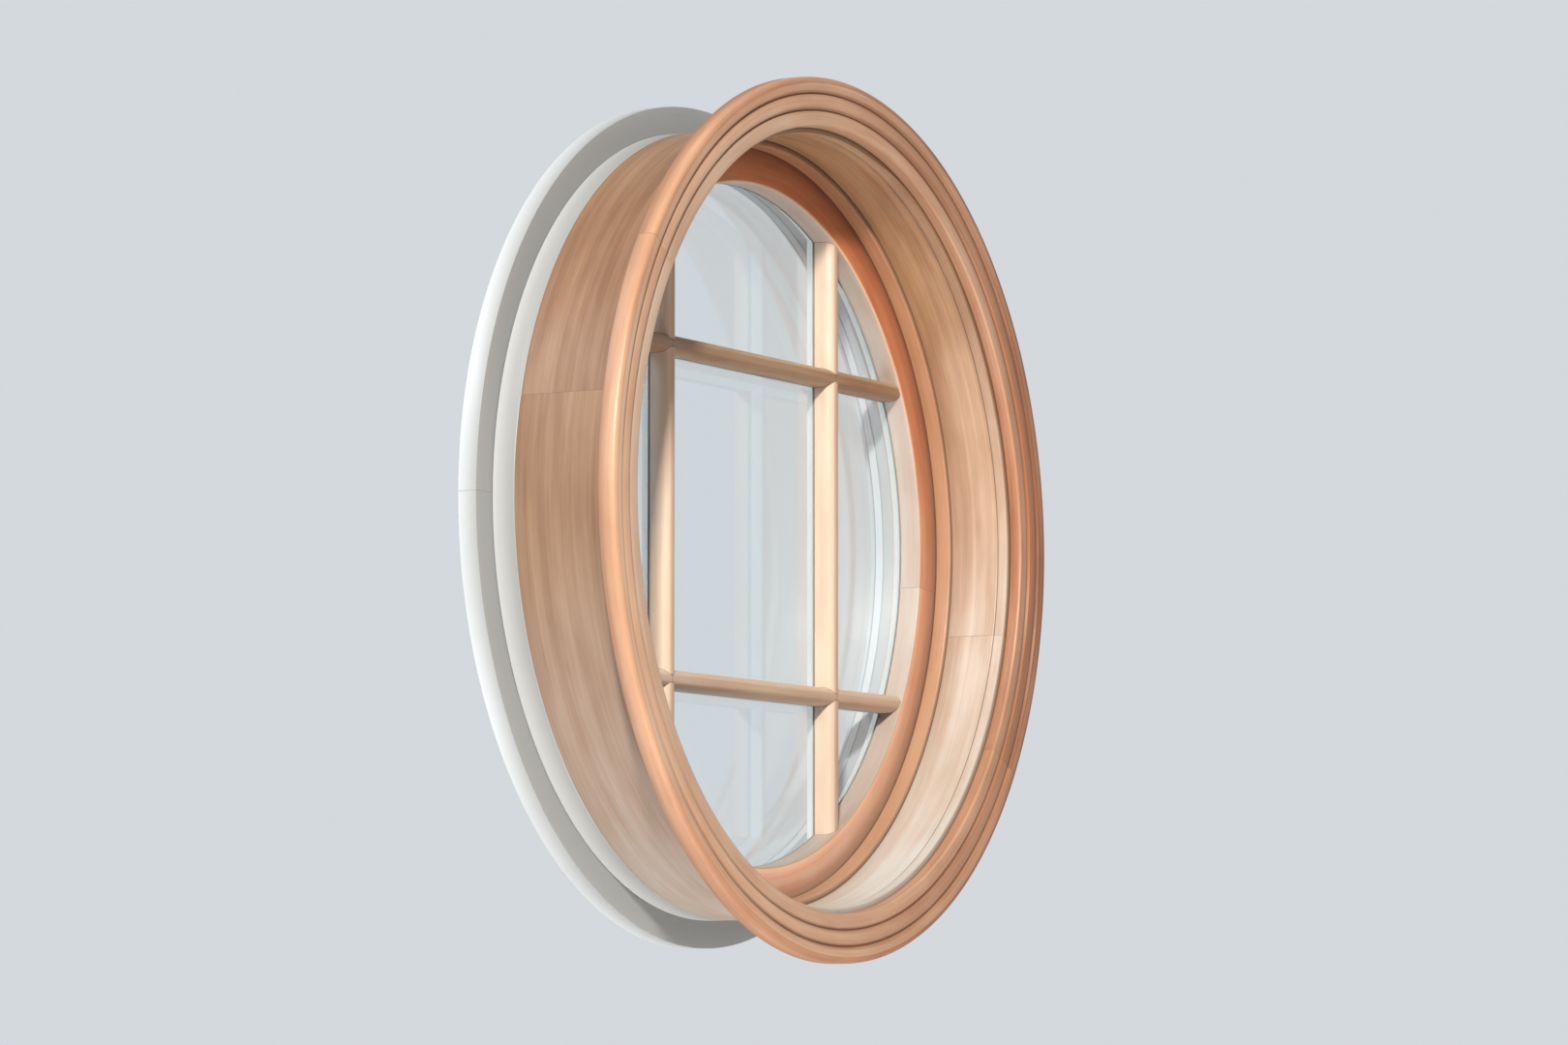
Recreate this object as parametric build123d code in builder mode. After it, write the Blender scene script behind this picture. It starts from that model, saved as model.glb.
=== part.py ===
from build123d import *
import os
from math import atan, cos, degrees, radians, sin, sqrt

# A round fixed window for a thick timber wall, in millimetres. The origin lies on the window's
# axis in the room face of the wall, +Y points outdoors and +Z up. Every depth is measured from
# that wall face, so the casing lies at negative depths and the rest at positive ones.

# Jamb liner: two bent half rings that line the hole in the wall, flush with its room face
wall_depth = 167.0
opening_radius = 445.0
liner_thickness = 12.0
liner_joint_angle = -13.5

# Casing: two moulded half rings on the room face of the wall
casing_width = 57.0
casing_reveal = 6.0
casing_thickness = 21.0
casing_step = 2.5
casing_joint_angle = -33.0
casing_arris = 5.0
quirk_width = 3.2
quirk_depth = 2.4
wall_land_setback = 1.0
liner_relief = 1.0

# Stop bead: one bent ring that keeps the sash in
stop_setback = 75.0
stop_width = 8.0
stop_depth = 19.0

# Sash: two half rings with a rebate for the glass on the outdoor side
sash_clearance = 2.0
sash_width = 47.0
sash_thickness = 44.0
sash_joint_angle = -6.5
glass_setback = 27.0

# Glazing bars: a moulded nose towards the room and a thin tongue between the panes
muntin_offset = 190.0
muntin_setback = 2.0
muntin_width = 22.0
muntin_nose = 8.0
muntin_mould = 14.0
muntin_tongue = 6.0
tenon_width = 8.0
tenon_thickness = 12.0
tenon_length = 18.0
tenon_clearance = 0.2

# Panes and their putty
pane_thickness = 4.0
pane_gap = 1.5
putty_setback = 1.0

# Frame ring: it closes the outdoor end of the liner, and carries the sash and the outer pane
frame_width = 46.0
outer_pane_thickness = 3.0
outer_pane_edge = 21.0
outer_bead_setback = 10.0
outer_bead_width = 16.0
outer_bead_thickness = 10.0

# Outdoor trim: two half rings round the outer bead, bevelled towards it
trim_clearance = 1.0
trim_width = 51.0
trim_thickness = 24.0
trim_edge = 12.0
trim_bevel = 12.0
trim_joint_angle = 0.0

# Loose tongues in the joints between half rings
tongue_length = 30.0
tongue_clearance = 0.15
casing_tongue_thickness = 4.0
casing_tongue_width = 28.0
sash_tongue_thickness = 8.0
sash_tongue_width = 22.0
trim_tongue_thickness = 6.0
trim_tongue_width = 18.0

# Radii and depths that follow from them
liner_outer = opening_radius + liner_thickness
casing_inner = opening_radius + casing_reveal
casing_outer = casing_inner + casing_width
sash_face = stop_setback + stop_depth
sash_back = sash_face + sash_thickness
sash_outer = opening_radius - sash_clearance
sash_sight = sash_outer - sash_width
rebate_width = (muntin_width - muntin_tongue) / 2
rebate_radius = sash_sight + rebate_width
glass_face = sash_face + glass_setback
glass_back = glass_face + pane_thickness
muntin_face = sash_face + muntin_setback
mould_back = muntin_face + muntin_mould
tongue_back = sash_back - putty_setback
tenon_middle = (muntin_face + glass_face) / 2
frame_inner = liner_outer - frame_width
outer_pane_back = wall_depth + outer_pane_thickness
outer_bead_inner = frame_inner + outer_bead_setback
outer_bead_outer = outer_bead_inner + outer_bead_width
outer_bead_back = outer_pane_back + outer_bead_thickness
trim_inner = outer_bead_outer + trim_clearance
trim_outer = trim_inner + trim_width
trim_face = wall_depth + trim_thickness

window_axis = Axis((0, 0, 0), (0, -1, 0))
os.makedirs("parts", exist_ok=True)


def radial_plane(angle):
    """The plane through the window's axis at this angle: its x is the radius and its y the depth."""
    outwards = Vector(cos(radians(angle)), 0, sin(radians(angle)))
    return Plane(origin=(0, 0, 0), x_dir=outwards, z_dir=outwards.cross(Vector(0, 1, 0)))


def wall_plane(depth):
    """The plane parallel to the wall at this depth, facing the room: its x is X and its y is Z."""
    return Plane.XZ.offset(-depth)


def joint_angles(first):
    """The angles of the two joints of a ring made of half rings."""
    return (first, first + 180)


def cut_tongue_slots(angles, radius, depth, width, thickness):
    """Cuts the slots for the loose tongues into both ends of the half ring being built."""
    for angle in angles:
        with Locations(radial_plane(angle)):
            with Locations((radius, depth, 0)):
                Box(
                    width + 2 * tongue_clearance,
                    thickness + 2 * tongue_clearance,
                    tongue_length + 2 * tongue_clearance,
                    mode=Mode.SUBTRACT,
                )


def build_tongues(name, angles, radius, depth, width, thickness):
    """One loose tongue across each joint of a ring."""
    with BuildPart() as tongues:
        for angle in angles:
            with Locations(radial_plane(angle)):
                with Locations((radius, depth, 0)):
                    Box(width, thickness, tongue_length)
    tongues.part.label = name
    export_step(tongues.part, f"parts/{name}.step")


def build_casing():
    """The casing's section has three stepped bands with a quirk between each two, an eased outer
    arris, and a back that lies flat on the wall and is relieved over the edge of the liner."""
    band = casing_width / 3
    inner_top = -(casing_thickness - 2 * casing_step)
    middle_top = -(casing_thickness - casing_step)
    outer_top = -casing_thickness
    first_quirk = casing_inner + band
    second_quirk = casing_inner + 2 * band
    angles = joint_angles(casing_joint_angle)
    tongue_radius = casing_inner + casing_width / 2
    tongue_depth = (inner_top + quirk_depth - liner_relief) / 2
    tongue = (tongue_radius, tongue_depth, casing_tongue_width, casing_tongue_thickness)
    for number, start in enumerate(angles, 1):
        with BuildPart() as casing_half:
            with BuildSketch(radial_plane(start)) as section:
                with BuildLine() as outline:
                    Polyline(
                        (casing_outer, 0),
                        (liner_outer + wall_land_setback, 0),
                        (casing_inner, -liner_relief),
                        (casing_inner, inner_top),
                        (first_quirk - quirk_width / 2, inner_top),
                        (first_quirk, inner_top + quirk_depth),
                        (first_quirk + quirk_width / 2, middle_top),
                        (second_quirk - quirk_width / 2, middle_top),
                        (second_quirk, middle_top + quirk_depth),
                        (second_quirk + quirk_width / 2, outer_top),
                        (casing_outer - casing_arris, outer_top),
                        (casing_outer, outer_top + casing_arris),
                        close=True,
                    )
                make_face()
            revolve(axis=window_axis, revolution_arc=180)
            cut_tongue_slots(angles, *tongue)
        casing_half.part.label = f"casing_half_{number}"
        export_step(casing_half.part, f"parts/casing_half_{number}.step")
    build_tongues("casing_tongues", angles, *tongue)


def build_liner():
    """The liner is a thin band bent in two halves, which butt at their ends."""
    for number, start in enumerate(joint_angles(liner_joint_angle), 1):
        with BuildPart() as liner_half:
            with BuildSketch(radial_plane(start)) as section:
                with BuildLine() as outline:
                    Polyline(
                        (opening_radius, 0),
                        (liner_outer, 0),
                        (liner_outer, sash_back),
                        (opening_radius, sash_back),
                        close=True,
                    )
                make_face()
            revolve(axis=window_axis, revolution_arc=180)
        liner_half.part.label = f"jamb_liner_half_{number}"
        export_step(liner_half.part, f"parts/jamb_liner_half_{number}.step")


def build_ring(name, inner, outer, front, back):
    """A whole ring of plain rectangular section between two radii and two depths."""
    with BuildPart() as ring:
        with BuildSketch(wall_plane(back)) as section:
            Circle(outer)
            Circle(inner, mode=Mode.SUBTRACT)
        extrude(amount=back - front)
    ring.part.label = name
    export_step(ring.part, f"parts/{name}.step")


def muntin_plane(upright, offset):
    """The plane across a glazing bar: its x runs across the bar and its y is the depth."""
    if upright:
        return Plane(origin=(offset, 0, 0), x_dir=(1, 0, 0), z_dir=(0, 0, 1))
    return Plane(origin=(0, 0, offset), x_dir=(0, 0, 1), z_dir=(-1, 0, 0))


def place_tenons(upright, offset, clearance, mode):
    """The two tenons at the ends of a glazing bar, or with a clearance their mortises."""
    tip = sqrt((sash_sight + tenon_length) ** 2 - offset**2) + clearance
    root = sqrt(sash_sight**2 - (abs(offset) + muntin_width / 2) ** 2) - tenon_length / 2
    width = tenon_width + 2 * clearance
    thickness = tenon_thickness + 2 * clearance
    for side in (-1, 1):
        with Locations(muntin_plane(upright, offset)):
            with Locations((0, tenon_middle, side * (root + tip) / 2)):
                Box(width, thickness, tip - root, mode=mode)


def build_sash():
    """The sash ring is flat towards the room and rebated for the glass on the outdoor side."""
    angles = joint_angles(sash_joint_angle)
    tongue_radius = (rebate_radius + sash_outer) / 2
    tongue_depth = (sash_face + sash_back) / 2
    tongue = (tongue_radius, tongue_depth, sash_tongue_width, sash_tongue_thickness)
    for number, start in enumerate(angles, 1):
        with BuildPart() as sash_half:
            with BuildSketch(radial_plane(start)) as section:
                with BuildLine() as outline:
                    Polyline(
                        (sash_sight, sash_face),
                        (sash_outer, sash_face),
                        (sash_outer, sash_back),
                        (rebate_radius, sash_back),
                        (rebate_radius, glass_face),
                        (sash_sight, glass_face),
                        close=True,
                    )
                make_face()
            revolve(axis=window_axis, revolution_arc=180)
            cut_tongue_slots(angles, *tongue)
            for offset in (-muntin_offset, muntin_offset):
                place_tenons(True, offset, tenon_clearance, Mode.SUBTRACT)
                place_tenons(False, offset, tenon_clearance, Mode.SUBTRACT)
        sash_half.part.label = f"sash_half_{number}"
        export_step(sash_half.part, f"parts/sash_half_{number}.step")
    build_tongues("sash_tongues", angles, *tongue)


def draw_muntin_section(plane):
    """A glazing bar's section: a flat nose, an ovolo on each side, a square shoulder for the panes
    and a thin tongue between them. The ovolo's radius makes it run smoothly into the side."""
    nose = muntin_nose / 2
    side = muntin_width / 2
    ovolo_width = side - nose
    ovolo_radius = (ovolo_width**2 + muntin_mould**2) / (2 * ovolo_width)
    tongue = muntin_tongue / 2
    with BuildSketch(plane) as section:
        with BuildLine() as outline:
            Line((0, muntin_face), (nose, muntin_face))
            RadiusArc((nose, muntin_face), (side, mould_back), -ovolo_radius)
            Polyline(
                (side, mould_back),
                (side, glass_face),
                (tongue, glass_face),
                (tongue, tongue_back),
                (0, tongue_back),
            )
            mirror(about=Plane.YZ)
        make_face()
    return section.sketch


def draw_front_notch(upright, x, z):
    """What a bar gives up to the one that crosses it, seen from the room: the halving is mitred
    along the mouldings, and the nose of the level bar runs through."""
    nose = muntin_nose / 2
    side = muntin_width / 2
    with BuildSketch(wall_plane(mould_back)) as notch:
        with Locations((x, z)):
            if upright:
                Polygon(
                    (-side, -side),
                    (-nose, -nose),
                    (nose, -nose),
                    (side, -side),
                    (side, side),
                    (nose, nose),
                    (-nose, nose),
                    (-side, side),
                    align=None,
                )
            else:
                Polygon((-side, side), (-nose, nose), (nose, nose), (side, side), align=None)
                Polygon((-side, -side), (-nose, -nose), (nose, -nose), (side, -side), align=None)
    return notch.sketch


def build_muntin(name, upright, offset):
    """A glazing bar with its ends scribed to the sash, its tenons and its two halved crossings."""
    side = muntin_width / 2
    with BuildPart() as opening:
        with BuildSketch(Plane.XY) as section:
            with BuildLine() as outline:
                Polyline(
                    (0, 0),
                    (sash_sight, 0),
                    (sash_sight, glass_face),
                    (rebate_radius, glass_face),
                    (rebate_radius, sash_back),
                    (0, sash_back),
                    close=True,
                )
            make_face()
        revolve(axis=Axis.Y)
    with BuildPart() as muntin:
        extrude(draw_muntin_section(muntin_plane(upright, offset)), amount=sash_outer, both=True)
        add(opening.part, mode=Mode.INTERSECT)
        place_tenons(upright, offset, 0, Mode.ADD)
        for crossing in (-muntin_offset, muntin_offset):
            x, z = (offset, crossing) if upright else (crossing, offset)
            extrude(draw_front_notch(upright, x, z), amount=2 * muntin_mould, mode=Mode.SUBTRACT)
            if not upright:
                with BuildSketch(wall_plane(glass_face)) as shoulder_notch:
                    with Locations((x, z)):
                        Rectangle(2 * side, 2 * side)
                extrude(amount=glass_face - mould_back, mode=Mode.SUBTRACT)
                with BuildSketch(wall_plane(sash_back)) as tongue_notch:
                    with Locations((x, z)):
                        Rectangle(muntin_tongue, 2 * side)
                extrude(amount=sash_back - glass_face, mode=Mode.SUBTRACT)
    muntin.part.label = name
    export_step(muntin.part, f"parts/{name}.step")


def lite_span(place, setback):
    """Where a lite starts and ends across the sash: place is -1, 0 or 1, and setback is how far
    it stays from the middle of the bars."""
    if place == 0:
        return -muntin_offset + setback, muntin_offset - setback
    start = muntin_offset + setback
    return (start, sash_outer) if place > 0 else (-sash_outer, -start)


def draw_lite(column, row, depth, setback, radius):
    """The outline of one lite: its cell between the bars, cut by a circle."""
    left, right = lite_span(column, setback)
    bottom, top = lite_span(row, setback)
    with BuildSketch(wall_plane(depth)) as lite:
        Circle(radius)
        with Locations(((left + right) / 2, (bottom + top) / 2)):
            Rectangle(right - left, top - bottom, mode=Mode.INTERSECT)
    return lite.sketch


lite_names = {
    (0, 0): "middle",
    (0, 1): "top",
    (0, -1): "bottom",
    (-1, 0): "left",
    (1, 0): "right",
    (-1, 1): "upper_left",
    (1, 1): "upper_right",
    (-1, -1): "lower_left",
    (1, -1): "lower_right",
}


def build_panes():
    """Nine panes, each lying on the shoulders of the bars and in the rebate of the sash."""
    for (column, row), name in lite_names.items():
        with BuildPart() as pane:
            setback = muntin_tongue / 2 + pane_gap
            outline = draw_lite(column, row, glass_back, setback, rebate_radius - pane_gap)
            extrude(outline, amount=pane_thickness)
        pane.part.label = f"pane_{name}"
        export_step(pane.part, f"parts/pane_{name}.step")


def build_putty():
    """Face putty round each lite, outdoors: a wedge that is widest on the glass, where it ends at
    the sight line, and runs out at the lip of the rebate."""
    depth = tongue_back - glass_back
    slope = degrees(atan(rebate_width / depth))
    with BuildPart() as putty:
        for column, row in lite_names:
            rebate = draw_lite(column, row, tongue_back, muntin_tongue / 2, rebate_radius)
            extrude(rebate, amount=depth)
            extrude(rebate, amount=depth, taper=slope, mode=Mode.SUBTRACT)
    putty.part.label = "glazing_putty"
    export_step(putty.part, "parts/glazing_putty.step")


def build_outer_pane():
    """The outer pane is a disc on the frame ring, under the outer bead."""
    with BuildPart() as outer_pane:
        with BuildSketch(wall_plane(outer_pane_back)) as disc:
            Circle(frame_inner + outer_pane_edge)
        extrude(amount=outer_pane_thickness)
    outer_pane.part.label = "outer_pane"
    export_step(outer_pane.part, "parts/outer_pane.step")


def build_trim():
    """The outdoor trim's section: a low edge round the bead, a bevel and a raised flat face."""
    angles = joint_angles(trim_joint_angle)
    tongue_radius = (trim_inner + trim_outer) / 2
    tongue_depth = wall_depth + trim_edge / 2
    tongue = (tongue_radius, tongue_depth, trim_tongue_width, trim_tongue_thickness)
    for number, start in enumerate(angles, 1):
        with BuildPart() as trim_half:
            with BuildSketch(radial_plane(start)) as section:
                with BuildLine() as outline:
                    Polyline(
                        (trim_inner, wall_depth),
                        (trim_outer, wall_depth),
                        (trim_outer, trim_face),
                        (trim_inner + trim_bevel, trim_face),
                        (trim_inner, wall_depth + trim_edge),
                        close=True,
                    )
                make_face()
            revolve(axis=window_axis, revolution_arc=180)
            cut_tongue_slots(angles, *tongue)
        trim_half.part.label = f"outer_trim_half_{number}"
        export_step(trim_half.part, f"parts/outer_trim_half_{number}.step")
    build_tongues("outer_trim_tongues", angles, *tongue)


build_casing()
build_liner()
build_ring("stop_bead", opening_radius - stop_width, opening_radius, stop_setback, sash_face)
build_sash()
build_muntin("muntin_upright_left", True, -muntin_offset)
build_muntin("muntin_upright_right", True, muntin_offset)
build_muntin("muntin_level_upper", False, muntin_offset)
build_muntin("muntin_level_lower", False, -muntin_offset)
build_panes()
build_putty()
build_ring("frame_ring", frame_inner, liner_outer, sash_back, wall_depth)
build_outer_pane()
build_ring("outer_bead", outer_bead_inner, outer_bead_outer, outer_pane_back, outer_bead_back)
build_trim()
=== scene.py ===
import bmesh
import bpy
import numpy as np
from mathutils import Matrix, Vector


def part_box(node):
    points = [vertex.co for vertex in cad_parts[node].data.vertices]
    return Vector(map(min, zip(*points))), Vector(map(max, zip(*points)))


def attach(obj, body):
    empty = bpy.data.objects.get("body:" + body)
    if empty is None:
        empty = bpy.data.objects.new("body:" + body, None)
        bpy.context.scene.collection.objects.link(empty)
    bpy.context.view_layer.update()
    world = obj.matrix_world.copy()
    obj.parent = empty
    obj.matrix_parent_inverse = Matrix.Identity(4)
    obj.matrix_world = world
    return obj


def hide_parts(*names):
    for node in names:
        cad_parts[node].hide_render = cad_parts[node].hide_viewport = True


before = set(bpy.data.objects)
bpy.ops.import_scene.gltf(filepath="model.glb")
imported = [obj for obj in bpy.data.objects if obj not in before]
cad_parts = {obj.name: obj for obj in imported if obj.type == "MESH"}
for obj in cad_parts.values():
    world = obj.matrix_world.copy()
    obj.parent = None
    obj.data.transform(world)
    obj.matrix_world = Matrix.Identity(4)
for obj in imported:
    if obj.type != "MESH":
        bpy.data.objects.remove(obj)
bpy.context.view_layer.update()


# Jamb liner
# Two boards of pale wood, steam-bent to half rings and nailed into the round hole in the wall.
# They butt at two joints. Clear varnish over a grain that runs round the ring.

liner_low, liner_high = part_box("jamb_liner_half_1")
liner_inner = 0.445
liner_outer = liner_high.z
liner_joint = -13.5
liner_ease = 0.0008
liner_front_shade = 0.0022
open_joint = (0.030, 0.048)
front_strip = 0.013
groove_half = 0.0014
groove_depth = 0.0009
groove_ease = 0.0005
crisp_ease = 0.0006
sharp_ease = 0.0003
crease_angle = 32
half_joint = 0.00008
dark_line = 0.0006


def soften(corners, samples=5):
    """Rounds the corners of a closed outline. A row holds a corner's radius and depth, how far from
    the corner its rounding starts, how dark dirt and painted shade make it, from 0 to 1, and how
    faded and painted light it is, from 0 to 2, or below 0 where it is painted darker against light.
    At share t the rounded point is (1-t)^2 of where the rounding starts, 2t(1-t) of the corner and
    t^2 of its end."""
    rows = np.array(corners, float)
    corner, ease = rows[:, :2], rows[:, 2:3]
    before = np.roll(corner, 1, 0) - corner
    after = np.roll(corner, -1, 0) - corner
    start = corner + ease * before / np.linalg.norm(before, axis=1, keepdims=True)
    end = corner + ease * after / np.linalg.norm(after, axis=1, keepdims=True)
    t = np.linspace(0, 1, samples)[None, :, None]
    rounded = (1 - t) ** 2 * start[:, None] + 2 * t * (1 - t) * corner[:, None] + t**2 * end[:, None]
    return np.column_stack([rounded.reshape(-1, 2), np.repeat(rows[:, 3:], samples, axis=0)])


def add_piece(name, points, faces, grain, dirt_and_shade, faded_and_lit):
    """Makes a closed mesh that keeps at each point its place in the straight board, how dark dirt and
    painted shade make the wood there, and how far daylight fading and painted light make it paler."""
    mesh = bpy.data.meshes.new(name)
    mesh.from_pydata(points.tolist(), [], faces)
    mesh.attributes.new("grain", "FLOAT_VECTOR", "POINT").data.foreach_set("vector", grain.ravel())
    mesh.attributes.new("dirt_and_shade", "FLOAT", "POINT").data.foreach_set("value", dirt_and_shade.ravel())
    mesh.attributes.new("faded_and_lit", "FLOAT", "POINT").data.foreach_set("value", faded_and_lit.ravel())
    shell = bmesh.new()
    shell.from_mesh(mesh)
    bmesh.ops.recalc_face_normals(shell, faces=shell.faces)
    shell.to_mesh(mesh)
    shell.free()
    mesh.shade_smooth()
    mesh.set_sharp_from_angle(angle=np.radians(crease_angle))
    piece = bpy.data.objects.new(name, mesh)
    bpy.context.scene.collection.objects.link(piece)
    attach(piece, "root")
    return piece


def tube_faces(stations, around, first=0):
    """The faces of a tube whose points come station by station: a quad between each two neighbours
    round the outline and along the tube, and the outline itself at each end."""
    here = np.arange(around)
    ring = np.stack([here, np.roll(here, -1)], 1)
    along = first + around * np.arange(stations - 1)[:, None, None]
    quads = np.concatenate([along + ring[None], along + around + ring[None, :, ::-1]], 2).reshape(-1, 4)
    start = first + here[::-1]
    end = first + around * (stations - 1) + here
    return quads.tolist() + [start.tolist(), end.tolist()]


def bend_round(name, outline, first, last, board=0.0, joint_mark=0.4, sun_and_light=(0.0, 0, 1)):
    """Carries a closed outline round the window's axis from one angle to another, in degrees. At
    angle a, the point at radius r and depth y lies at (r cos a, y, r sin a). Its place in the
    straight board is the arc at the ring's mean radius, r and y, shifted by board. Its ends stop half
    a joint short and carry a line as dark as joint_mark. One side is made paler, as painted light
    falling on that side and, on some pieces, as sun fading: for its strength s, side b and power p,
    s ((1 + cos(a - b)) / 2)^p is added to how faded and lit it is."""
    strength, side, power = sun_and_light
    mean_radius = (outline[:, 0].min() + outline[:, 0].max()) / 2
    gap = half_joint / mean_radius
    line = dark_line / mean_radius
    start, end = np.radians(first) + gap, np.radians(last) - gap
    steps = int(round(last - first))
    angle = np.concatenate([[start], np.linspace(start + line, end - line, steps), [end]])
    at_joint = np.isin(np.arange(len(angle)), (0, len(angle) - 1))
    radius, depth, dirt_and_shade, faded_and_lit = outline.T
    a = angle[:, None]
    points = np.stack([radius * np.cos(a), depth + 0 * a, radius * np.sin(a)], 2)
    grain = np.stack([mean_radius * a + board + 0 * radius, radius + 0 * a, depth + 0 * a], 2)
    marks = np.maximum(dirt_and_shade[None, :], at_joint[:, None] * joint_mark)
    fade_and_light = faded_and_lit[None, :] + strength * ((1 + np.cos(a - np.radians(side))) / 2) ** power
    faces = tube_faces(len(angle), len(radius))
    return add_piece(name, points.reshape(-1, 3), faces, grain.reshape(-1, 3), marks, fade_and_light)


def put_node(tree, kind, inputs=None, **settings):
    """Adds a shader node, and feeds each named input a value or another node's output."""
    node = tree.nodes.new(kind)
    for name, value in settings.items():
        setattr(node, name, value)
    for name, value in (inputs or {}).items():
        if isinstance(value, bpy.types.NodeSocket):
            tree.links.new(value, node.inputs[name])
        else:
            node.inputs[name].default_value = value
    return node


def stretch_noise(tree, place, stretch, detail, low, high):
    """A noise from 0 to 1 over a stretched place, with what lies between low and high spread out."""
    scaled = put_node(tree, "ShaderNodeVectorMath", {0: place, 1: stretch}, operation="MULTIPLY")
    noise = put_node(
        tree,
        "ShaderNodeTexNoise",
        {"Vector": scaled.outputs[0], "Scale": 1.0, "Detail": detail, "Roughness": 0.55},
    )
    spread = put_node(
        tree,
        "ShaderNodeMapRange",
        {"Value": noise.outputs["Fac"], "From Min": low, "From Max": high},
    )
    return spread.outputs["Result"]


def add_up(tree, terms):
    """The sum of outputs, each times its share."""
    total = 0.0
    for socket, share in terms:
        inputs = {0: socket, 1: share, 2: total}
        total = put_node(tree, "ShaderNodeMath", inputs, operation="MULTIPLY_ADD").outputs[0]
    return total


def mix_colours(tree, share, first, second):
    """The first colour where the share is 0, the second where it is 1."""
    mixed = put_node(tree, "ShaderNodeMix", {0: share, 6: first, 7: second}, data_type="RGBA")
    return mixed.outputs[2]


def open_group(name, inputs, outputs):
    """A shader node group with named inputs and outputs, and its two end nodes."""
    group = bpy.data.node_groups.new(name, "ShaderNodeTree")
    for socket, kind in inputs.items():
        group.interface.new_socket(name=socket, in_out="INPUT", socket_type=kind)
    for socket, kind in outputs.items():
        group.interface.new_socket(name=socket, in_out="OUTPUT", socket_type=kind)
    return group, group.nodes.new("NodeGroupInput").outputs, group.nodes.new("NodeGroupOutput").inputs


# Wood: broad bands along the board, fine fibres over them, a slow mottle, and dark grime at joints,
# which also darkens corners and grooves as painted shade. Its bloom at 1 and silvered grey at 2 are
# partly daylight fading and partly painted light.
wood_grain, wood_in, wood_out = open_group(
    "wood_grain",
    {
        "Place": "NodeSocketVector",
        "Dirt_and_Shade": "NodeSocketFloat",
        "Faded_and_Lit": "NodeSocketFloat",
        "Light": "NodeSocketColor",
        "Dark": "NodeSocketColor",
        "Bloom": "NodeSocketColor",
        "Figure": "NodeSocketFloat",
    },
    {"Color": "NodeSocketColor", "Roughness": "NodeSocketFloat", "Height": "NodeSocketFloat"},
)
bands = stretch_noise(wood_grain, wood_in["Place"], (1.5, 95, 95), 3.0, 0.34, 0.68)
fibres = stretch_noise(wood_grain, wood_in["Place"], (11, 480, 480), 2.0, 0.3, 0.7)
mottle = stretch_noise(wood_grain, wood_in["Place"], (7, 28, 28), 3.0, 0.36, 0.66)
pores = stretch_noise(wood_grain, wood_in["Place"], (40, 900, 900), 1.0, 0.66, 0.74)
figured = put_node(wood_grain, "ShaderNodeMath", {0: bands, 1: wood_in["Figure"]}, operation="MULTIPLY")
darkness = add_up(wood_grain, [(figured.outputs[0], 1.0), (fibres, 0.25), (mottle, 0.45), (pores, 0.15)])
pale_darkness = add_up(wood_grain, [(bands, 0.5), (fibres, 0.2), (mottle, 0.5)])
plain = mix_colours(wood_grain, darkness, wood_in["Light"], wood_in["Dark"])
streaked = mix_colours(wood_grain, 0.6, wood_in["Bloom"], wood_in["Light"])
pale = mix_colours(wood_grain, pale_darkness, wood_in["Bloom"], streaked)
# Painted light: where the faded value is high the wood turns pale, partly as sun fading and partly as
# light falling on it.
faded_and_lit_wood = mix_colours(wood_grain, wood_in["Faded_and_Lit"], plain, pale)
silvered_and_lit = mix_colours(wood_grain, pale_darkness, (0.46, 0.385, 0.325, 1), (0.385, 0.29, 0.225, 1))
past_faded_and_lit = put_node(wood_grain, "ShaderNodeMath", {0: wood_in["Faded_and_Lit"], 1: 1.0}, operation="SUBTRACT")
sunned_and_lit_wood = mix_colours(wood_grain, past_faded_and_lit.outputs[0], faded_and_lit_wood, silvered_and_lit)
# The dirt value darkens the wood: real grime at joints and painted shade in corners and grooves.
grime_and_shade = put_node(wood_grain, "ShaderNodeMath", {0: wood_in["Dirt_and_Shade"], 1: 0.85}, operation="MULTIPLY")
shaded_grimy_wood = mix_colours(wood_grain, grime_and_shade.outputs[0], sunned_and_lit_wood, (0.045, 0.018, 0.01, 1))
wood_grain.links.new(shaded_grimy_wood, wood_out["Color"])
gloss = add_up(wood_grain, [(fibres, 0.12), (mottle, 0.1), (wood_in["Dirt_and_Shade"], 0.3)])
rough = put_node(wood_grain, "ShaderNodeMath", {0: gloss, 1: 0.36}, operation="ADD")
wood_grain.links.new(rough.outputs[0], wood_out["Roughness"])
relief = add_up(wood_grain, [(fibres, 0.5), (bands, 0.5), (pores, -0.6)])
wood_grain.links.new(relief, wood_out["Height"])


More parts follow.
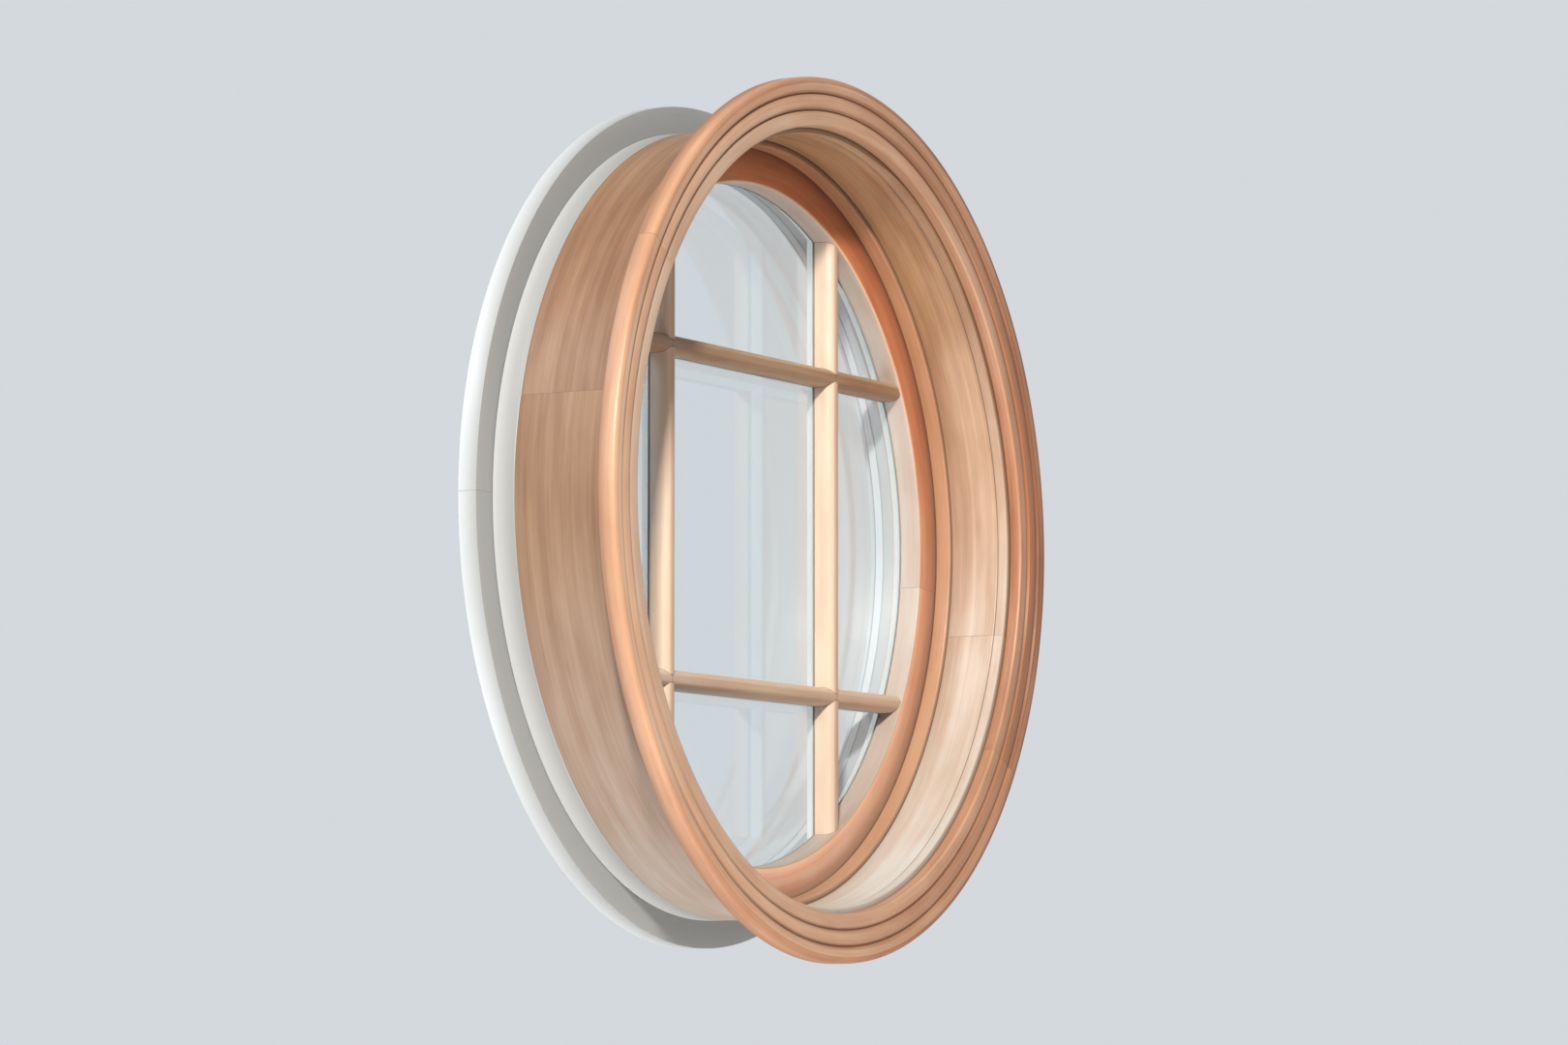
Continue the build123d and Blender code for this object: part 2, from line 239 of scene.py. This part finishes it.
def varnished_wood(name, light, dark, bloom, figure, coat=0.25):
    """Clear-varnished wood of two colours and the one it fades to, with how strongly its bands show."""
    material = bpy.data.materials.new(name)
    material.use_nodes = True
    tree = material.node_tree
    shader = tree.nodes["Principled BSDF"]
    grain = put_node(tree, "ShaderNodeAttribute", attribute_name="grain")
    dirt_and_shade = put_node(tree, "ShaderNodeAttribute", attribute_name="dirt_and_shade")
    faded_and_lit = put_node(tree, "ShaderNodeAttribute", attribute_name="faded_and_lit")
    wood = put_node(tree, "ShaderNodeGroup", node_tree=wood_grain)
    tree.links.new(grain.outputs["Vector"], wood.inputs["Place"])
    tree.links.new(dirt_and_shade.outputs["Fac"], wood.inputs["Dirt_and_Shade"])
    tree.links.new(faded_and_lit.outputs["Fac"], wood.inputs["Faded_and_Lit"])
    wood.inputs["Light"].default_value = (*light, 1)
    wood.inputs["Dark"].default_value = (*dark, 1)
    wood.inputs["Bloom"].default_value = (*bloom, 1)
    wood.inputs["Figure"].default_value = figure
    height = {"Height": wood.outputs["Height"], "Strength": 0.25, "Distance": 0.0004}
    bump = put_node(tree, "ShaderNodeBump", height)
    tree.links.new(wood.outputs["Color"], shader.inputs["Base Color"])
    tree.links.new(wood.outputs["Roughness"], shader.inputs["Roughness"])
    tree.links.new(bump.outputs["Normal"], shader.inputs["Normal"])
    shader.inputs["Coat Weight"].default_value = coat
    shader.inputs["Coat Roughness"].default_value = 0.3
    return material


# Painted shade: the dirt values darken the liner's corners, the groove in its front strip and the line
# along the casing, where shade falls.
liner_outline = soften(
    [
        (liner_inner, liner_low.y, liner_ease, 0.15, 0.1),
        (liner_outer, liner_low.y, liner_ease, 0.7, 0),
        (liner_outer, liner_high.y, liner_ease, 0.5, 0),
        (liner_inner, liner_high.y, liner_ease, 0.5, 0),
        (liner_inner, open_joint[1], liner_ease, 0, 0),
        (liner_inner, open_joint[0], liner_ease, 0, 0),
        (liner_inner, front_strip + groove_half, groove_ease, 0, 0),
        (liner_inner + groove_depth, front_strip, sharp_ease, 0.75, 0),
        (liner_inner, front_strip - groove_half, groove_ease, 0, 0.1),
        (liner_inner, liner_low.y + liner_front_shade, crisp_ease, 0, 0.1),
    ]
)

# The liner's joints are tight but for one short place, which has filled with dirt.
tight_mark = 0.15
open_mark = 0.6
open_reach = 0.012
from_open = (liner_outline[:, 1] - np.mean(open_joint)) / open_reach
liner_marks = tight_mark + open_mark * np.exp(-(from_open**2))

pale_wood = varnished_wood(
    "pale_wood", (0.47, 0.27, 0.14), (0.28, 0.135, 0.06), (0.60, 0.61, 0.58), 0.6, coat=0.15
)
# Painted light: the lower right is made paler, partly as sun fading and partly as daylight falling on
# it.
for number, start in enumerate((liner_joint, liner_joint + 180), 1):
    liner = bend_round(
        f"liner_{number}",
        liner_outline,
        start,
        start + 180,
        board=3.1 * number,
        joint_mark=liner_marks,
        sun_and_light=(1.0, -75, 2.5),
    )
    liner.data.materials.append(pale_wood)
    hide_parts(f"jamb_liner_half_{number}")


# Frame ring
# A heavy ring of wood at the outdoor end of the liner. The sash stands against its front and the
# storm pane lies on its back. White paint, with painted shade over the front of its inner face where
# the sash meets it and in a fine seam.

ring_low, ring_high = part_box("frame_ring")
ring_inner = 0.411
ring_ease = 0.002
ring_joint = 100
ring_front_shade = 0.005
ring_seam = ring_low.y + 0.018
seam_depth = 0.0012
seam_half = 0.0012
seam_ease = 0.0004
tape_width = 0.0018

paint_coat, paint_in, paint_out = open_group(
    "paint_coat",
    {"Place": "NodeSocketVector", "Dirt_and_Shade": "NodeSocketFloat", "Paint": "NodeSocketColor"},
    {"Color": "NodeSocketColor", "Roughness": "NodeSocketFloat", "Height": "NodeSocketFloat"},
)
strokes = stretch_noise(paint_coat, paint_in["Place"], (7, 330, 330), 2.0, 0.3, 0.7)
stains = stretch_noise(paint_coat, paint_in["Place"], (9, 22, 22), 4.0, 0.5, 0.8)
specks = stretch_noise(paint_coat, paint_in["Place"], (190, 190, 190), 2.0, 0.68, 0.76)
weather = add_up(paint_coat, [(strokes, 0.06), (stains, 0.16), (specks, 0.2)])
weathered = mix_colours(paint_coat, weather, paint_in["Paint"], (0.36, 0.37, 0.33, 1))
# Painted shade: the dirt value darkens the paint in corners and seams, together with real grime.
darkening_share = {0: paint_in["Dirt_and_Shade"], 1: 0.75}
paint_grime_and_shade = put_node(paint_coat, "ShaderNodeMath", darkening_share, operation="MULTIPLY")
shaded_grimy_paint = mix_colours(paint_coat, paint_grime_and_shade.outputs[0], weathered, (0.1, 0.1, 0.09, 1))
paint_coat.links.new(shaded_grimy_paint, paint_out["Color"])
paint_gloss = add_up(paint_coat, [(strokes, 0.1), (stains, 0.2)])
paint_rough = put_node(paint_coat, "ShaderNodeMath", {0: paint_gloss, 1: 0.38}, operation="ADD")
paint_coat.links.new(paint_rough.outputs[0], paint_out["Roughness"])
brush_marks = add_up(paint_coat, [(strokes, 0.8), (specks, 0.3)])
paint_coat.links.new(brush_marks, paint_out["Height"])


def painted(name, colour, from_object=False):
    """Brushed paint. A CAD node has no grain kept on it, so there the brush marks follow its place."""
    material = bpy.data.materials.new(name)
    material.use_nodes = True
    tree = material.node_tree
    shader = tree.nodes["Principled BSDF"]
    coat = put_node(tree, "ShaderNodeGroup", node_tree=paint_coat)
    if from_object:
        place = put_node(tree, "ShaderNodeTexCoord").outputs["Object"]
    else:
        place = put_node(tree, "ShaderNodeAttribute", attribute_name="grain").outputs["Vector"]
        dirt_and_shade = put_node(tree, "ShaderNodeAttribute", attribute_name="dirt_and_shade")
        tree.links.new(dirt_and_shade.outputs["Fac"], coat.inputs["Dirt_and_Shade"])
    tree.links.new(place, coat.inputs["Place"])
    coat.inputs["Paint"].default_value = (*colour, 1)
    height = {"Height": coat.outputs["Height"], "Strength": 0.2, "Distance": 0.0003}
    bump = put_node(tree, "ShaderNodeBump", height)
    tree.links.new(coat.outputs["Color"], shader.inputs["Base Color"])
    tree.links.new(coat.outputs["Roughness"], shader.inputs["Roughness"])
    tree.links.new(bump.outputs["Normal"], shader.inputs["Normal"])
    return material


ring_outline = soften(
    [
        (ring_inner, ring_low.y, ring_ease, 0.8, 0),
        (liner_outer, ring_low.y, ring_ease, 0.8, 0),
        (liner_outer, ring_high.y, ring_ease, 0.3, 0),
        (ring_inner, ring_high.y, crisp_ease, 1.0, 0),
        (ring_inner, ring_high.y - tape_width, sharp_ease, 0, 0),
        (ring_inner, ring_seam + seam_half, seam_ease, 0.05, 0),
        (ring_inner + seam_depth, ring_seam, sharp_ease, 0.7, 0),
        (ring_inner, ring_seam - seam_half, seam_ease, 0.42, 0),
        (ring_inner, ring_low.y + ring_front_shade, ring_ease / 2, 0.38, 0),
    ]
)
white_paint = painted("white_paint", (0.61, 0.63, 0.645))
frame_ring = bend_round("painted_frame_ring", ring_outline, ring_joint, ring_joint + 360)
frame_ring.data.materials.append(white_paint)
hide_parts("frame_ring")


# Stop bead
# A thin strip of tan wood, bent to one ring and pinned to the liner in front of the sash, which it
# holds against the frame ring. Its ends butt.

bead_low, bead_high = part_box("stop_bead")
bead_inner = 0.437
bead_joint = 200
bead_ease = 0.0022
bead_back_shade = 0.0025
# Painted shade darkens the bead's corners against the liner and its back edge by the sash; painted light
# makes its lower right paler, together with sun fading.
bead_outline = soften(
    [
        (bead_inner, bead_low.y, bead_ease, 0, 0),
        (liner_inner, bead_low.y, crisp_ease, 0.9, 0),
        (liner_inner, bead_high.y, crisp_ease, 0.6, 0),
        (bead_inner, bead_high.y, crisp_ease, 1.0, 0),
        (bead_inner, bead_high.y - bead_back_shade, crisp_ease, 0, 0),
    ]
)
tan_wood = varnished_wood("tan_wood", (0.42, 0.21, 0.11), (0.25, 0.11, 0.05), (0.52, 0.36, 0.24), 0.3)
stop_bead = bend_round("bent_stop_bead", bead_outline, bead_joint, bead_joint + 360, sun_and_light=(0.6, -60, 2))
stop_bead.data.materials.append(tan_wood)
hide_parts("stop_bead")


# Sash
# Two half rings of orange wood, joined by loose tongues. The face is flat with eased edges. The edge
# towards the glass, which lies in a rebate on the outdoor side, is painted pale and grey, as silvered
# wood and as painted daylight on it.

sash_low, sash_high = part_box("sash_half_1")
sash_joint = -6.5
sash_outer = 0.443
sash_sight = 0.396
rebate_radius = 0.404
glass_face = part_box("pane_middle")[0].y
sash_ease = 0.0016
hidden_ease = 0.001
reveal_ease = 0.0005
silvered_and_lit_edge = 0.003
silvered_and_lit_depth = 0.004
glass_edge_shade = 0.002
# Painted shade darkens the hidden corners and a line along the glass; painted light makes the lower part
# paler, together with sun fading.
sash_outline = soften(
    [
        (sash_sight, sash_low.y, sash_ease, 0, 1.5),
        (sash_sight + silvered_and_lit_edge, sash_low.y, reveal_ease, 0, 0),
        (sash_outer, sash_low.y, hidden_ease, 0.9, 0),
        (sash_outer, sash_high.y, hidden_ease, 0.6, 0),
        (rebate_radius, sash_high.y, hidden_ease, 0.3, 0),
        (rebate_radius, glass_face, hidden_ease, 0.5, 0),
        (sash_sight, glass_face, reveal_ease, 0.8, 2),
        (sash_sight, glass_face - glass_edge_shade, reveal_ease, 0, 2),
        (sash_sight, sash_low.y + silvered_and_lit_depth, reveal_ease, 0, 1.9),
    ]
)
orange_wood = varnished_wood(
    "orange_wood", (0.72, 0.24, 0.085), (0.43, 0.11, 0.035), (0.90, 0.60, 0.43), 0.4
)
for number, start in enumerate((sash_joint, sash_joint + 180), 1):
    sash = bend_round(
        f"sash_{number}",
        sash_outline,
        start,
        start + 180,
        board=4.3 * number,
        joint_mark=0.25,
        sun_and_light=(1.0, -85, 1.5),
    )
    sash.data.materials.append(orange_wood)
    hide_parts(f"sash_half_{number}")


# Glazing bars
# Two upright and two level bars, halved where they cross: the level bars' noses run through, and
# the mouldings meet in mitres. Each ends against the sash, where its tenon goes in.

bar_offset = 0.190
bar_low, bar_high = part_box("muntin_level_upper")
bar_nose = 0.004
bar_side = 0.011
bar_tongue = 0.003
mould_depth = 0.014
ovolo_radius = ((bar_side - bar_nose) ** 2 + mould_depth**2) / (2 * (bar_side - bar_nose))
nose_ease = 0.0016
nose_turn = 0.0006
nose_drop = 0.0002
bedding = 0.0012
hair_width = 0.0001
bar_joint_line = 0.0012
bar_joint_dirt = 0.7
bedding_dirt_and_shade = 0.8
bar_fade = 0.25
bar_lit_side = 0.35


def bar_section():
    """Half a bar's outline as distance from its middle and depth: the flat nose, the ovolo, whose
    point at angle a lies its radius from a centre at the moulding's back, the straight side, the
    shoulder that the glass lies on, and the tongue, which starts a hair behind the shoulder. The
    other half is its mirror."""
    face, back = bar_low.y, bar_high.y
    a = np.linspace(-np.arcsin(mould_depth / ovolo_radius), 0, 12)[1:]
    centre = np.array([bar_side - ovolo_radius, face + mould_depth])
    ovolo = centre + ovolo_radius * np.stack([np.cos(a), np.sin(a)], 1)
    nose = np.array([(0, face), (bar_nose - nose_ease, face), (bar_nose - nose_turn, face + nose_drop)])
    behind = np.array(
        [
            (bar_side, glass_face - 1.5 * bedding),
            (bar_side, glass_face - bedding),
            (bar_side, glass_face),
            (bar_tongue, glass_face),
            (bar_tongue, glass_face + hair_width),
            (bar_tongue, back),
            (0, back),
        ]
    )
    half = np.concatenate([nose, ovolo, behind])
    mirrored = half[-2:0:-1] * (-1, 1)
    return np.concatenate([half, mirrored])


def make_bar(name, upright, offset, board):
    """Three lengths of the bar, from the sash to a crossing, between the crossings, and on to the
    sash. At the sash a point ends where its distance from the window's axis is the sash's radius. At
    a crossing it stops as far from the middle as it lies from the bar's own middle, which makes
    the mitre, but the level bars' noses and the upright bars' tongues run through. The upright bars'
    left sides and the level bars' tops are painted paler, as painted light falling on them, and the
    sides are darker where they meet the glass, as dirt and painted shade."""
    across, depth = bar_section().T
    apart = np.abs(across)
    tongue = depth > glass_face + hair_width / 2
    # Painted shade: the sides are darker where they meet the glass, as dirt and shade.
    bedded = np.where(np.abs(depth - glass_face) < bedding + hair_width, bedding_dirt_and_shade, 0.0)
    # Painted light: the upright bars' left sides and the level bars' tops are made paler.
    lit_side = across < -bar_nose if upright else across > bar_nose
    fade_and_light = bar_fade + bar_lit_side * lit_side
    stop = np.where(apart < bar_nose, bar_nose if upright else 0, apart)
    stop = np.where(tongue, 0 if upright else bar_tongue, stop)
    reach = np.sqrt(np.where(tongue, rebate_radius, sash_sight) ** 2 - (offset + across) ** 2)
    spans = (
        (-reach, -bar_offset - stop),
        (-bar_offset + stop, bar_offset - stop),
        (bar_offset + stop, reach),
    )
    points, grain, dirt_and_shade, faded_and_lit, faces = [], [], [], [], []
    for start, end in spans:
        along = np.stack([start, start + bar_joint_line, end - bar_joint_line, end])
        side, deep = across + 0 * along, depth + 0 * along
        place = (offset + side, deep, along) if upright else (along, deep, offset + side)
        faces += tube_faces(4, len(across), 4 * len(across) * len(points))
        points.append(np.stack(place, 2).reshape(-1, 3))
        grain.append(np.stack([along + board, side, deep], 2).reshape(-1, 3))
        dirt_and_shade.append(np.maximum(bedded, bar_joint_dirt * np.array([[1], [0], [0], [1]])).ravel())
        faded_and_lit.append((fade_and_light + 0 * along).ravel())
    kept = [np.concatenate(part) for part in (grain, dirt_and_shade, faded_and_lit)]
    return add_piece(name, np.concatenate(points), faces, *kept)


bar_wood = varnished_wood("bar_wood", (0.62, 0.42, 0.31), (0.42, 0.25, 0.15), (0.62, 0.53, 0.41), 0.4)
# Painted shade: a darker, redder copy of the bar wood for the upper level bar, whose underside is seen
# in shade.
shaded_bar_wood = varnished_wood(
    "shaded_bar_wood", (0.34, 0.165, 0.085), (0.18, 0.07, 0.03), (0.50, 0.44, 0.28), 0.4
)
for name, upright, offset, board, wood in (
    ("upright_left", True, -bar_offset, 0.0, bar_wood),
    ("upright_right", True, bar_offset, 2.3, bar_wood),
    ("level_upper", False, bar_offset, 5.1, shaded_bar_wood),
    ("level_lower", False, -bar_offset, 7.7, bar_wood),
):
    bar = make_bar(f"bar_{name}", upright, offset, board)
    bar.data.materials.append(wood)
    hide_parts(f"muntin_{name}")


# Panes
# Nine panes of clear float glass between the bars, and one large storm pane outdoors. Shadow rays
# and diffuse rays go straight through them, so the daylight reaches the room side.

clear_glass = bpy.data.materials.new("clear_glass")
clear_glass.use_nodes = True
glass_tree = clear_glass.node_tree
glass = glass_tree.nodes["Principled BSDF"]
glass.inputs["Base Color"].default_value = (0.96, 0.985, 0.985, 1)
glass.inputs["Roughness"].default_value = 0.02
glass.inputs["IOR"].default_value = 1.5
glass.inputs["Transmission Weight"].default_value = 1.0
light_path = put_node(glass_tree, "ShaderNodeLightPath")
passing = put_node(
    glass_tree,
    "ShaderNodeMath",
    {0: light_path.outputs["Is Shadow Ray"], 1: light_path.outputs["Is Diffuse Ray"]},
    operation="MAXIMUM",
)
let_through = put_node(glass_tree, "ShaderNodeBsdfTransparent", {"Color": (0.84, 0.87, 0.9, 1)})
pane_surface = put_node(
    glass_tree,
    "ShaderNodeMixShader",
    {0: passing.outputs[0], 1: glass.outputs[0], 2: let_through.outputs[0]},
)
glass_tree.links.new(pane_surface.outputs[0], glass_tree.nodes["Material Output"].inputs["Surface"])


def refinish(node, material):
    """Gives a CAD node this material in place of its own."""
    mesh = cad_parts[node].data
    mesh.materials.clear()
    mesh.materials.append(material)


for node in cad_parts:
    if node.startswith("pane_") or node == "outer_pane":
        refinish(node, clear_glass)


# Putty
# A wedge of putty round each pane on the outdoor side, pressed in soft and painted over. It holds
# the glass against the shoulders of the sash and the bars.

refinish("glazing_putty", painted("putty_paint", (0.78, 0.78, 0.74), from_object=True))


# Outer bead
# A painted bead, pinned to the back of the frame ring over the edge of the storm pane, and the thin
# dark tape that the pane is bedded on.

outer_low, outer_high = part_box("outer_bead")
outer_inner = 0.421
outer_ease = 0.0015
outer_joint = 75
outer_outline = soften(
    [
        (outer_inner, outer_low.y, crisp_ease, 1.0, 0),
        (outer_high.x, outer_low.y, crisp_ease, 0.8, 0),
        (outer_high.x, outer_high.y, outer_ease, 0, 0),
        (outer_inner, outer_high.y, outer_ease, 0, 0),
        (outer_inner, outer_low.y + tape_width, seam_ease, 0, 0),
    ]
)
outer_bead = bend_round("painted_outer_bead", outer_outline, outer_joint, outer_joint + 360)
outer_bead.data.materials.append(white_paint)
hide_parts("outer_bead")


# Outdoor trim
# Two half rings of painted wood round the bead, bevelled towards it. They cover the gap between
# the frame and the wall, and their paint has greyed in the weather.

trim_low, trim_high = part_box("outer_trim_half_1")
trim_inner = 0.438
trim_outer = 0.489
trim_edge = 0.012
trim_bevel = 0.012
trim_ease = 0.002
trim_joint = 0
trim_outline = soften(
    [
        (trim_inner, trim_low.y, crisp_ease, 0.9, 0),
        (trim_outer, trim_low.y, crisp_ease, 0.6, 0),
        (trim_outer, trim_high.y, trim_ease, 0, 0),
        (trim_inner + trim_bevel, trim_high.y, trim_ease, 0, 0),
        (trim_inner, trim_low.y + trim_edge, trim_ease, 0, 0),
    ]
)
trim_paint = painted("trim_paint", (0.49, 0.51, 0.53))
for number, start in enumerate((trim_joint, trim_joint + 180), 1):
    trim = bend_round(f"painted_trim_{number}", trim_outline, start, start + 180, board=1.9 * number)
    trim.data.materials.append(trim_paint)
    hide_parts(f"outer_trim_half_{number}")


# Casing
# Two half rings of moulded wood on the room face of the wall. Three bands step up outwards with a
# quirk between each two, and the outer arris is well rounded.

casing_low, casing_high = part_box("casing_half_1")
casing_joint = -33
casing_inner = 0.451
casing_outer = casing_high.z
casing_front = casing_low.y
casing_band = (casing_outer - casing_inner) / 3
casing_step = 0.0025
back_setback = 0.001
back_relief = 0.001
quirk_half = 0.0021
band_ease = 0.004
quirk_depth = 0.0027
quirk_ease = 0.0007
quirk_fall = 0.0006
quirk_rise = 0.0008
back_ease = 0.0002
back_gap_shade = 0.0022
edge_width = 0.004
inner_arris = 0.0028
outer_arris = 0.0072
outer_flat = casing_outer - 1.2 * outer_arris
inner_top = casing_front + 2 * casing_step
middle_top = casing_front + casing_step
first_quirk = casing_inner + casing_band
second_quirk = casing_inner + 2 * casing_band
# Painted shade darkens the quirks and the gap along the liner; painted light makes the inner band paler,
# and the outer arris is painted darker against its highlight.
casing_outline = soften(
    [
        (casing_outer, casing_high.y, crisp_ease, 0.5, -0.3),
        (liner_outer + back_setback, casing_high.y, back_ease, 0.6, 0),
        (casing_inner, casing_high.y - back_relief, sharp_ease, 0.6, 0),
        (casing_inner, casing_high.y - back_relief - back_gap_shade, crisp_ease, 0, 0.15),
        (casing_inner, inner_top + edge_width, crisp_ease, 0, 0.15),
        (casing_inner, inner_top, inner_arris, 0, 0.4),
        (first_quirk - quirk_half - band_ease, inner_top, band_ease / 2, 0, 0.5),
        (first_quirk - quirk_half, inner_top + quirk_fall, quirk_half / 2, 0.15, 0.3),
        (first_quirk, inner_top + quirk_depth, quirk_ease, 0.5, 0),
        (first_quirk + quirk_half, middle_top + quirk_rise, quirk_half / 2, 0.15, 0),
        (first_quirk + quirk_half + band_ease, middle_top, band_ease / 2, 0, 0.1),
        (second_quirk - quirk_half - band_ease, middle_top, band_ease / 2, 0, 0.1),
        (second_quirk - quirk_half, middle_top + quirk_fall, quirk_half / 2, 0.15, 0),
        (second_quirk, middle_top + quirk_depth, quirk_ease, 0.5, 0),
        (second_quirk + quirk_half, casing_front + quirk_rise, quirk_half / 2, 0.15, 0),
        (second_quirk + quirk_half + band_ease, casing_front, band_ease / 2, 0, 0.2),
        (outer_flat, casing_front, crisp_ease, 0, 0.2),
        (casing_outer, casing_front, outer_arris, 0, -0.3),
    ]
)
casing_wood = varnished_wood(
    "casing_wood", (0.38, 0.125, 0.038), (0.18, 0.055, 0.017), (0.62, 0.42, 0.28), 0.6, coat=0.05
)
# Painted light: the left side of the casing is made paler and the right side darker.
for number, start in enumerate((casing_joint, casing_joint + 180), 1):
    casing = bend_round(
        f"moulded_casing_{number}",
        casing_outline,
        start,
        start + 180,
        board=6.7 * number,
        joint_mark=0.3,
        sun_and_light=(1.0, 180, 0.6),
    )
    casing.data.materials.append(casing_wood)
    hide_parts(f"casing_half_{number}")


# Loose tongues
# Plain strips of bare wood, glued into grooves across the joints of the casing, the sash and the
# outdoor trim. They line up the halves, and nothing shows them.

bare_wood = painted("bare_wood", (0.62, 0.47, 0.31), from_object=True)
for node in ("casing_tongues", "sash_tongues", "outer_trim_tongues"):
    refinish(node, bare_wood)


# Room
# A plain pale floor as far below the window as the real one. Light comes from the upper left, weakly
# from the camera's side and, as daylight, from the left outdoors. What the real floor and ground
# throw back comes from two lamps under the floor, which casts no shadow.

floor_level = -1.79
floor_reach = 30.0
eye = Vector((-5.478, -3.048, -0.602))
aim = Vector((0, 0.06, 0))
sensor = 36.0
lens = 126.0
backdrop = (0.66, 0.69, 0.72, 1)

floor_mesh = bpy.data.meshes.new("floor")
floor_sides = ((-1, -1), (1, -1), (1, 1), (-1, 1))
floor_corners = [(floor_reach * x, floor_reach * y, floor_level) for x, y in floor_sides]
floor_mesh.from_pydata(floor_corners, [], [(0, 1, 2, 3)])
floor = bpy.data.objects.new("floor", floor_mesh)
bpy.context.scene.collection.objects.link(floor)
floor.visible_diffuse = False
floor.visible_shadow = False
floor_paint = bpy.data.materials.new("floor_paint")
floor_paint.use_nodes = True
floor_shader = floor_paint.node_tree.nodes["Principled BSDF"]
floor_shader.inputs["Base Color"].default_value = (0.34, 0.345, 0.35, 1)
floor_shader.inputs["Roughness"].default_value = 0.8
floor_shader.inputs["Emission Color"].default_value = (0.95, 0.98, 1.0, 1)
floor_shader.inputs["Emission Strength"].default_value = 0.3
floor_mesh.materials.append(floor_paint)


def add_lamp(name, place, target, size, power, colour):
    """A square soft lamp at a place, turned to a target."""
    lamp = bpy.data.lights.new(name, "AREA")
    lamp.size = size
    lamp.energy = power
    lamp.color = colour
    stand = bpy.data.objects.new(name, lamp)
    stand.location = place
    stand.rotation_euler = (Vector(target) - Vector(place)).to_track_quat("-Z", "Y").to_euler()
    stand.visible_camera = False
    stand.visible_transmission = False
    bpy.context.scene.collection.objects.link(stand)


add_lamp("room_lamp", (-8.1, -4.0, 3.9), (0, 0, 0), 0.6, 1400, (1.0, 0.955, 0.885))
add_lamp("camera_lamp", (-1.5, -5.5, 1.0), (0, 0, 0), 2.5, 25, (1.0, 0.97, 0.94))
add_lamp("floor_glow", (-0.58, -0.46, -2.02), (0, 0, 0.3), 1.15, 43, (1.0, 0.95, 0.88))
add_lamp("day_lamp", (-2.3, 2.3, 2.0), (0, 0.1, 0), 1.6, 64, (0.9, 0.96, 1.0))
add_lamp("ground_glow", (-1.92, 3.14, -2.4), (0, 0.1, 0), 1.4, 84, (0.92, 0.97, 1.0))

# The camera, the reflections and the glass see a plain backdrop. All else gets a weak even light.
world = bpy.data.worlds.new("surroundings")
bpy.context.scene.world = world
world.use_nodes = True
sky = world.node_tree
sky_path = put_node(sky, "ShaderNodeLightPath")
direct = {0: sky_path.outputs["Is Camera Ray"], 1: sky_path.outputs["Is Glossy Ray"]}
seen = put_node(sky, "ShaderNodeMath", direct, operation="MAXIMUM")
through = {0: seen.outputs[0], 1: sky_path.outputs["Is Transmission Ray"]}
seen_or_through = put_node(sky, "ShaderNodeMath", through, operation="MAXIMUM")
ambient = put_node(sky, "ShaderNodeBackground", {"Color": (1, 0.99, 0.98, 1), "Strength": 0.22})
shown = put_node(sky, "ShaderNodeBackground", {"Color": backdrop, "Strength": 1.0})
around = put_node(
    sky,
    "ShaderNodeMixShader",
    {0: seen_or_through.outputs[0], 1: ambient.outputs[0], 2: shown.outputs[0]},
)
sky.links.new(around.outputs[0], sky.nodes["World Output"].inputs["Surface"])

camera_data = bpy.data.cameras.new("camera")
camera_data.sensor_width = sensor
camera_data.lens = lens
camera = bpy.data.objects.new("camera", camera_data)
camera.location = eye
camera.rotation_euler = (aim - eye).to_track_quat("-Z", "Y").to_euler()
bpy.context.scene.collection.objects.link(camera)
bpy.context.scene.camera = camera
bpy.context.scene.view_settings.view_transform = "Standard"
